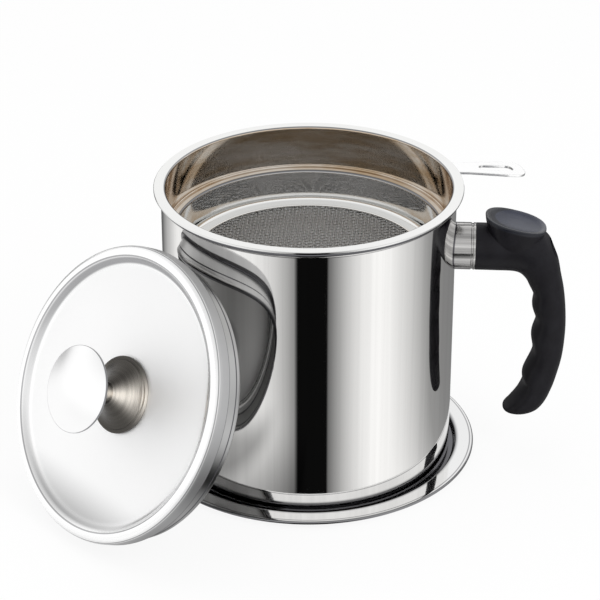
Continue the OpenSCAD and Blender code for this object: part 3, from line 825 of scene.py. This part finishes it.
# ---------------------------------------------------------------- lid and knob
def panel_point(s, drop=0.0):
    """A point of the dished panel, from its flat middle (s = 0) to its edge (s = 1)."""
    return (FLAT_R + (PANEL_R - FLAT_R) * s,
            FLAT_Z - drop + (PANEL_Z - FLAT_Z) * s * s + PANEL_FILLET * s ** PANEL_STEEP)


def lid_profile():
    """Skirt, rounded edge and crest down to the dished panel, then back along the inside."""
    t, count, brink = LID_T, 30, CREST_Z - 1.0
    inward = [1 - (i / count) ** 2 for i in range(count + 1)]
    return ([(LID_R - t, 0), (LID_R, 0)] + arc(CREST_R, LID_SKIRT, LID_ROUND, 0, 90, 16)
            + [(CREST_R - 1.0, CREST_Z)] + arc(PANEL_R + 1.6, brink, 1.0, 90, 140, 8)
            + [panel_point(s) for s in inward] + [(KNOB_BORE_R, FLAT_Z), (KNOB_BORE_R, FLAT_Z - t)]
            + [panel_point(s, t) for s in reversed(inward)]
            + arc(PANEL_R + 2.2, brink - t, 1.0, 140, 90, 8)
            + [(CREST_R - 1.0, CREST_Z - t)] + arc(CREST_R, LID_SKIRT, LID_ROUND - t, 90, 0, 16))


def collar_profile():
    """The plug collar: folded out under the lid, grooved, and turned in at its lower end."""
    t, r, low, turn_in = COLLAR_T, COLLAR_R, -COLLAR_H, 1.6
    groove = low + COLLAR_GROOVE
    return ([(LID_R - LID_T, 0), (LID_R - LID_T, t)] + arc(r - t + 0.9, t - 0.9, 0.9, 90, 180, 6)
            + [(r - t, low + turn_in)] + arc(r - turn_in, low + turn_in, turn_in - t, 0, -90, 6)
            + [(r - 2.6, low + t), (r - 2.6, low)] + arc(r - turn_in, low + turn_in, turn_in, -90, 0, 8)
            + [(r, groove - 0.3), (r - 0.25, groove), (r, groove + 0.3), (r, -0.2), (r + 0.2, 0)])


def knob_foot_profile():
    """A ring on the panel, a flare that narrows to the neck, and the bore for the bush."""
    foot, ring, edge, count = KNOB_FOOT_R, KNOB_RING_H, 0.35, 20
    top, flare_r, flare_z = KNOB_RIM_H - KNOB_UNDER, KNOB_FOOT_R - 1.6, KNOB_RING_H + 0.5
    flare = [(flare_r - (flare_r - KNOB_NECK_R) * s ** 0.9, flare_z + (KNOB_FOOT_H - flare_z) * s ** 1.35)
             for s in [i / count for i in range(count + 1)]]
    return ([(KNOB_BORE_R, 0), (foot - 0.3, 0)] + arc(foot - edge, edge, edge, -60, 0, 4)
            + arc(foot - edge, ring - edge, edge, 0, 90, 4) + [(foot - 1.3, ring), (foot - 1.5, ring + 0.2)]
            + flare + [(KNOB_NECK_R, top), (INSERT_R, top), (INSERT_R, top - INSERT_SUNK),
                       (KNOB_BORE_R, top - INSERT_SUNK)])


def knob_cap_profile():
    """A domed crown over a hollow underside."""
    r, rim, low, neck, count = KNOB_CAP_R, KNOB_RIM_H, KNOB_RIM_H - KNOB_UNDER, KNOB_NECK_R + 0.4, 24
    ball = (r * r + KNOB_CROWN ** 2) / (2 * KNOB_CROWN)
    half = math.asin(r / ball)
    under = [(neck + 0.6 + (r - 2.0 - neck) * s, low + 0.5 + (KNOB_UNDER - 2.0) * s * s)
             for s in [i / count for i in range(1, count)]]
    crown = [(ball * math.sin(a), rim + KNOB_CROWN - ball + ball * math.cos(a))
             for a in [half * (1 - i / count) for i in range(count + 1)]]
    return ([(INSERT_R, low), (neck, low), (neck + 0.6, low + 0.5)] + under
            + [(r - 0.7, rim - 1.3), (r - 0.12, rim - 0.9), (r, rim - 0.6)]
            + crown + [(0, rim - 0.4), (INSERT_R, rim - 0.4)])


KNOB = LEAN @ moved(0, 0, FLAT_Z)
give(revolve("lid_cover", lid_profile(), 256, LEAN), LID_STEEL, "lid", "lid_shell")
give(revolve("lid_plug", collar_profile(), 224, LEAN), COLLAR_STEEL, "lid", "lid_collar")
give(revolve("knob_foot", knob_foot_profile(), 128, KNOB), KNOB_STEEL, "lid", "knob_base")
give(revolve("knob_top", knob_cap_profile(), 160, KNOB), CAP_STEEL, "lid", "knob_cap")
for inner in ("knob_insert", "knob_washer", "knob_screw"):
    recolour(inner, LID_SCREW_STEEL)


# ---------------------------------------------------------------- handle
def ferrule():
    """A steel tube round the arm: a saddle cut at the wall, a rolled groove and a turned-in end.

    Its profile is (radius, distance from the pot's axis), where None stands for the wall."""
    end, r, sides = FERRULE_X, ARM_R, 160
    bottom, bend, bore_in = r - GROOVE_DEPTH, r - 0.12, r - FERRULE_T
    outside = [(r, None), (r, end - 2.1), (bend, end - 1.95), (bottom, end - 1.75), (bottom, end - 1.25),
               (bend, end - 1.05), (r, end - 0.9), (r, end - 0.45), (bend, end - 0.15), (r - 0.4, end)]
    inside = [(BORE_R, end), (BORE_R, end - FERRULE_END_T), (bore_in, end - FERRULE_END_T), (bore_in, None)]
    bm = bmesh.new()
    rings = []
    for radius, x in outside + inside:
        ring = []
        for k in range(sides):
            a = 2 * math.pi * k / sides
            y, z = radius * math.sin(a), radius * math.cos(a)
            at_wall = math.sqrt(BODY_R ** 2 - y * y)
            ring.append(bm.verts.new(Vector((at_wall if x is None else x, y, ARM_Z + z)) * MM))
        rings.append(ring)
    for a, b in zip(rings, rings[1:] + rings[:1]):
        join_rings(bm, a, b)
    return from_bmesh("arm_ferrule", bm)


give(ferrule(), FERRULE_STEEL, "pot", "handle_ferrule")

# stations from the ferrule's end and the arm's axis: outer x, outer z, inner x, inner z, half width
GRIP_KNOTS = [
    (0.0, ARM_R, 0.0, -ARM_R, ARM_R), (8.4, ARM_R, 7.4, -ARM_R, ARM_R),
    (22.0, 9.8, 16.8, -10.1, ARM_R), (30.3, 5.6, 20.8, -12.4, GRIP_W),
    (34.6, -3.6, 23.2, -16.6, GRIP_W), (36.5, -11.8, 25.2, -21.3, GRIP_W),
    (38.2, -19.8, 24.9, -26.7, GRIP_W), (39.3, -29.3, 26.7, -33.3, GRIP_W),
    (39.6, -38.9, 25.1, -40.5, GRIP_W), (38.8, -50.1, 25.9, -48.9, GRIP_W),
    (36.6, -60.8, 22.2, -59.0, GRIP_W), (35.0, -66.0, 22.3, -63.6, GRIP_W),
    (32.9, -71.4, 20.0, -69.3, GRIP_W - 0.5), (29.8, -75.8, 16.6, -74.0, GRIP_W - 1.5),
    (25.0, -77.9, 14.3, -76.8, GRIP_W - 3.2), (20.8, -78.3, 15.8, -78.2, GRIP_W - 7.2)]
# thumb rest rings: length scale, width scale, shift away from the pot, height over its rim
PAD_RINGS = [
    (0.78, 0.93, 2.05, -11.0), (0.86, 0.95, 1.3, -7.2), (0.92, 0.965, 0.65, -4.4),
    (0.97, 0.985, 0.2, -2.2), (0.99, 1.0, 0.1, -1.1), (1.0, 1.0, 0.0, -0.5),
    (0.985, 0.985, 0.0, -0.12), (0.94, 0.94, 0.0, 0.0), (0.88, 0.88, 0.0, -0.15),
    (0.66, 0.66, 0.0, -0.8), (0.34, 0.34, 0.0, -1.2)]
GRIP_STEPS, GRIP_SIDES, GRIP_SQUARE = 9, 72, 0.12
PAD_STEPS, PAD_SIDES, PAD_POWER = 4, 96, 0.85


def spline(rows, steps):
    """A denser list of rows on a smooth curve through the given ones."""
    out = []
    for i in range(len(rows) - 1):
        near = [rows[max(i - 1, 0)], rows[i], rows[i + 1], rows[min(i + 2, len(rows) - 1)]]
        for j in range(steps):
            t = j / steps
            out.append([0.5 * (2 * b + (c - a) * t + (2 * a - 5 * b + 4 * c - d) * t * t
                               + (3 * b - a - 3 * c + d) * t ** 3) for a, b, c, d in zip(*near)])
    return out + [list(rows[-1])]


def oval(sides, power):
    """Cosine and sine round a circle, each raised to a power that squares it up."""
    turns = [2 * math.pi * i / sides for i in range(sides)]
    return [[math.copysign(abs(v) ** power, v) for v in (math.cos(a), math.sin(a))] for a in turns]


def bored(obj):
    """Cuts the screw's bore and the recess for its head out of a shell."""
    start, seat, back = FERRULE_X - 1, HEAD_SEAT_X, HEAD_SEAT_X + 30
    profile = [(0, start), (BORE_R, start), (BORE_R, seat), (RECESS_R, seat), (RECESS_R, back), (0, back)]
    tool = revolve("bore", profile, 96, ARM)
    mod = obj.modifiers.new("bore", "BOOLEAN")
    mod.operation, mod.solver, mod.object = "DIFFERENCE", "EXACT", tool
    apply_modifiers(obj)
    bpy.data.objects.remove(tool)


def arm_skin():
    """Arm, elbow and finger grooves: round at the ferrule, squarer from the elbow on."""
    rings = []
    for k, (outer_x, outer_z, inner_x, inner_z, half) in enumerate(spline(GRIP_KNOTS, GRIP_STEPS)):
        share = min(1.0, max(0.0, (k - GRIP_STEPS) / (2 * GRIP_STEPS)))
        x, z = FERRULE_X + (outer_x + inner_x) / 2, ARM_Z + (outer_z + inner_z) / 2
        rings.append([(x + u * (outer_x - inner_x) / 2, -v * half, z + u * (outer_z - inner_z) / 2)
                      for u, v in oval(GRIP_SIDES, 1.0 - GRIP_SQUARE * share)])
    return loft("arm_grip", rings)


def pad_skin():
    """The overhanging thumb rest with its dished top."""
    tilt, seat = turned(PAD_SLOPE, "Y"), Vector((PAD_X, 0, PAD_Z))
    return loft("pad", [[seat + tilt @ Vector((shift + long * PAD_L / 2 * u, wide * PAD_W / 2 * v, height))
                         for u, v in oval(PAD_SIDES, PAD_POWER)]
                        for long, wide, shift, height in spline(PAD_RINGS, PAD_STEPS)])


def grip():
    """The arm's skin and the thumb rest that grows out of it, both bored, as one piece."""
    bm = bmesh.new()
    shells = (arm_skin(), pad_skin())
    for shell in shells:
        bored(shell)
        bm.from_mesh(shell.data)
    for shell in shells:
        bpy.data.objects.remove(shell)
    return from_bmesh("side_grip", bm, sharp=34)


give(grip(), GRIP_BLACK, "pot", "handle_grip")
for inner in ("handle_stud", "handle_washer", "handle_screw"):
    recolour(inner, SCREW_STEEL)


# ---------------------------------------------------------------- studio
# camera: turn from the front, angle above the level, distance and aim in metres, and the picture's shift
CAMERA_TURN, CAMERA_LIFT, CAMERA_FAR, AIM_Z = math.radians(3.5), math.radians(28.04), 1.0, 0.060
SHIFT_RIGHT, SHIFT_UP = -0.00371, 0.00828
LENS, SENSOR = 139.13, 36.0


def aim_at(obj, spot, aim):
    """Puts a camera or a lamp at a spot and points it."""
    obj.location = spot
    obj.rotation_mode = "QUATERNION"
    obj.rotation_quaternion = (Vector(aim) - Vector(spot)).to_track_quat("-Z", "Y")


def camera():
    level = math.cos(CAMERA_LIFT)
    back = Vector((math.sin(CAMERA_TURN) * level, -math.cos(CAMERA_TURN) * level, math.sin(CAMERA_LIFT)))
    right = Vector((math.cos(CAMERA_TURN), math.sin(CAMERA_TURN), 0))
    middle = Vector((0, 0, AIM_Z))
    data = bpy.data.cameras.new("camera")
    data.lens, data.sensor_width = LENS, SENSOR
    data.clip_start, data.clip_end = 0.05, 20
    obj = add_object("camera", data)
    aim_at(obj, middle + back * CAMERA_FAR, middle + right * SHIFT_RIGHT + back.cross(right) * SHIFT_UP)
    bpy.context.scene.camera = obj


camera()

# studio cards round the pot, as polished steel sees them in the floor: direction in degrees from the
# camera's, positive to its right, and brightness
CARDS = [
    (-180, 0.10), (-150, 0.14), (-132, 0.60), (-116, 1.02), (-60, 1.02), (-50, 1.04), (-41, 0.95),
    (-32, 0.84), (-22, 0.62), (-13, 0.37), (-10.5, 0.32), (-9.4, 0.004), (14.4, 0.004), (15.4, 0.16),
    (24.4, 0.45), (34, 0.76), (44, 1.02), (54, 1.12), (65, 1.08), (76, 0.87), (89, 0.60), (103, 0.34),
    (121, 0.26), (147, 0.22), (180, 0.16)]
CARD_CENTRE = 31 * MM
# to the left the floor dims towards the pot, most of all in the far corner, and in front it turns plain
DIM_REACH, DIM_SIDE, NEAR_DIM = (30 * MM, 115 * MM), (-12 * MM, 0.0), 0.38
CORNER_SIDE, CORNER_REACH, CORNER_DIM = (-62 * MM, -40 * MM), (85 * MM, 130 * MM), 0.55
PLAIN_REACH, PLAIN_FRONT, PLAIN_TONE = (340 * MM, 460 * MM), (0.0, 100 * MM), 0.96


def card_tone(f):
    """Brightness of the floor to a glossy ray: cards by direction, dimmer near the pot on the left."""
    x, y, _ = f.parts(f.place())
    x, y = x - CARD_CENTRE * math.sin(CAMERA_TURN), y + CARD_CENTRE * math.cos(CAMERA_TURN)
    side = x * math.cos(CAMERA_TURN) + y * math.sin(CAMERA_TURN)
    near = x * math.sin(CAMERA_TURN) - y * math.cos(CAMERA_TURN)
    reach = (side * side + near * near).sqrt()
    angle = f.maths("ARCTAN2", side, near) / (2 * math.pi) + 0.5
    stops = [((degrees + 180) / 360, tone) for degrees, tone in CARDS]
    cards = f.add("ShaderNodeValToRGB", {"stops": stops}, {"Fac": angle})
    dim = reach.fade(*DIM_REACH, NEAR_DIM, 1.0).most(side.fade(*DIM_SIDE))
    corner = side.fade(*CORNER_SIDE, 1.0, 0.0) * reach.fade(*CORNER_REACH, 1.0, 0.0)
    cards = f.mix(dim * (1.0 - corner * CORNER_DIM), rgba(0.0), cards)
    beyond = reach.fade(*PLAIN_REACH) * near.fade(*PLAIN_FRONT)
    return f.mix(beyond, cards, rgba(PLAIN_TONE))


FLOOR_SIZE, FLOOR_DROP = 6.0, 0.2 * MM
FLOOR_TONE, SEEN_WHITE = 0.86, 0.90


def floor():
    """A plain pale table top, almost white to the camera, that shows the cards to glossy rays."""
    bm = bmesh.new()
    bmesh.ops.create_grid(bm, x_segments=2, y_segments=2, size=FLOOR_SIZE)
    obj = from_bmesh("table_top", bm)
    obj.location.z = -FLOOR_DROP
    mat, f = new_finish("table_pale")
    camera_ray, glossy_ray = f.rays()
    plain = f.add("ShaderNodeBsdfDiffuse", None, {"Color": rgba(FLOOR_TONE)})
    white = f.add("ShaderNodeEmission", None, {"Color": rgba(1.0), "Strength": 1.0})
    cards = f.add("ShaderNodeEmission", None, {"Color": card_tone(f), "Strength": 1.0})
    lit = f.add("ShaderNodeMixShader", None, {0: camera_ray * SEEN_WHITE, 1: plain, 2: white})
    top = f.add("ShaderNodeMixShader", None, {0: glossy_ray, 1: lit, 2: cards})
    f.add("ShaderNodeOutputMaterial", None, {"Surface": top})
    obj.data.materials.append(mat)


floor()

# brightness of the sky for soft light, and to glossy rays from SKY_RISE's lower height to its upper one
SKY_LEVEL, SKY_LOW, SKY_TOP, SKY_RISE = 0.62, 1.08, 0.74, (0.50, 0.95)
BEHIND_Y, BEHIND_Z, BEHIND_DIM = (0.35, 0.65), (0.10, 0.26), 0.72


def sky():
    """White to the camera, soft light for the rest, and a dim band low behind for glossy rays."""
    world = bpy.data.worlds.new("studio")
    bpy.context.scene.world = world
    world.use_nodes = True
    f = Finish(world.node_tree)
    _, y, z = f.parts(f.add("ShaderNodeTexCoord", None, None, "Generated"))
    camera_ray, glossy_ray = f.rays()
    behind = y.fade(*BEHIND_Y) * z.fade(*BEHIND_Z, 1.0, 0.0)
    tone = z.fade(*SKY_RISE, SKY_LOW, SKY_TOP) * (1.0 - behind * BEHIND_DIM)
    level = SKY_LEVEL + glossy_ray * (tone - SKY_LEVEL)
    level = level + camera_ray * (1.0 - level)
    shade = f.add("ShaderNodeBackground", None, {"Color": rgba(1.0), "Strength": level})
    f.add("ShaderNodeOutputWorld", None, {"Surface": shade})


sky()


def softbox(name, spot, aim, size, power):
    """A large soft lamp that the steel doesn't mirror."""
    data = bpy.data.lights.new(name, "AREA")
    data.shape, data.energy = "RECTANGLE", power
    data.size, data.size_y = size
    obj = add_object(name, data)
    obj.visible_glossy = False
    aim_at(obj, spot, aim)


softbox("key_right", (0.9, -0.7, 1.0), (0, 0, 0.06), (0.7, 0.9), 9.0)
softbox("top_fill", (-0.2, 0.2, 1.3), (0, 0, 0), (1.2, 1.2), 7.0)

bpy.context.scene.view_settings.view_transform = "Standard"
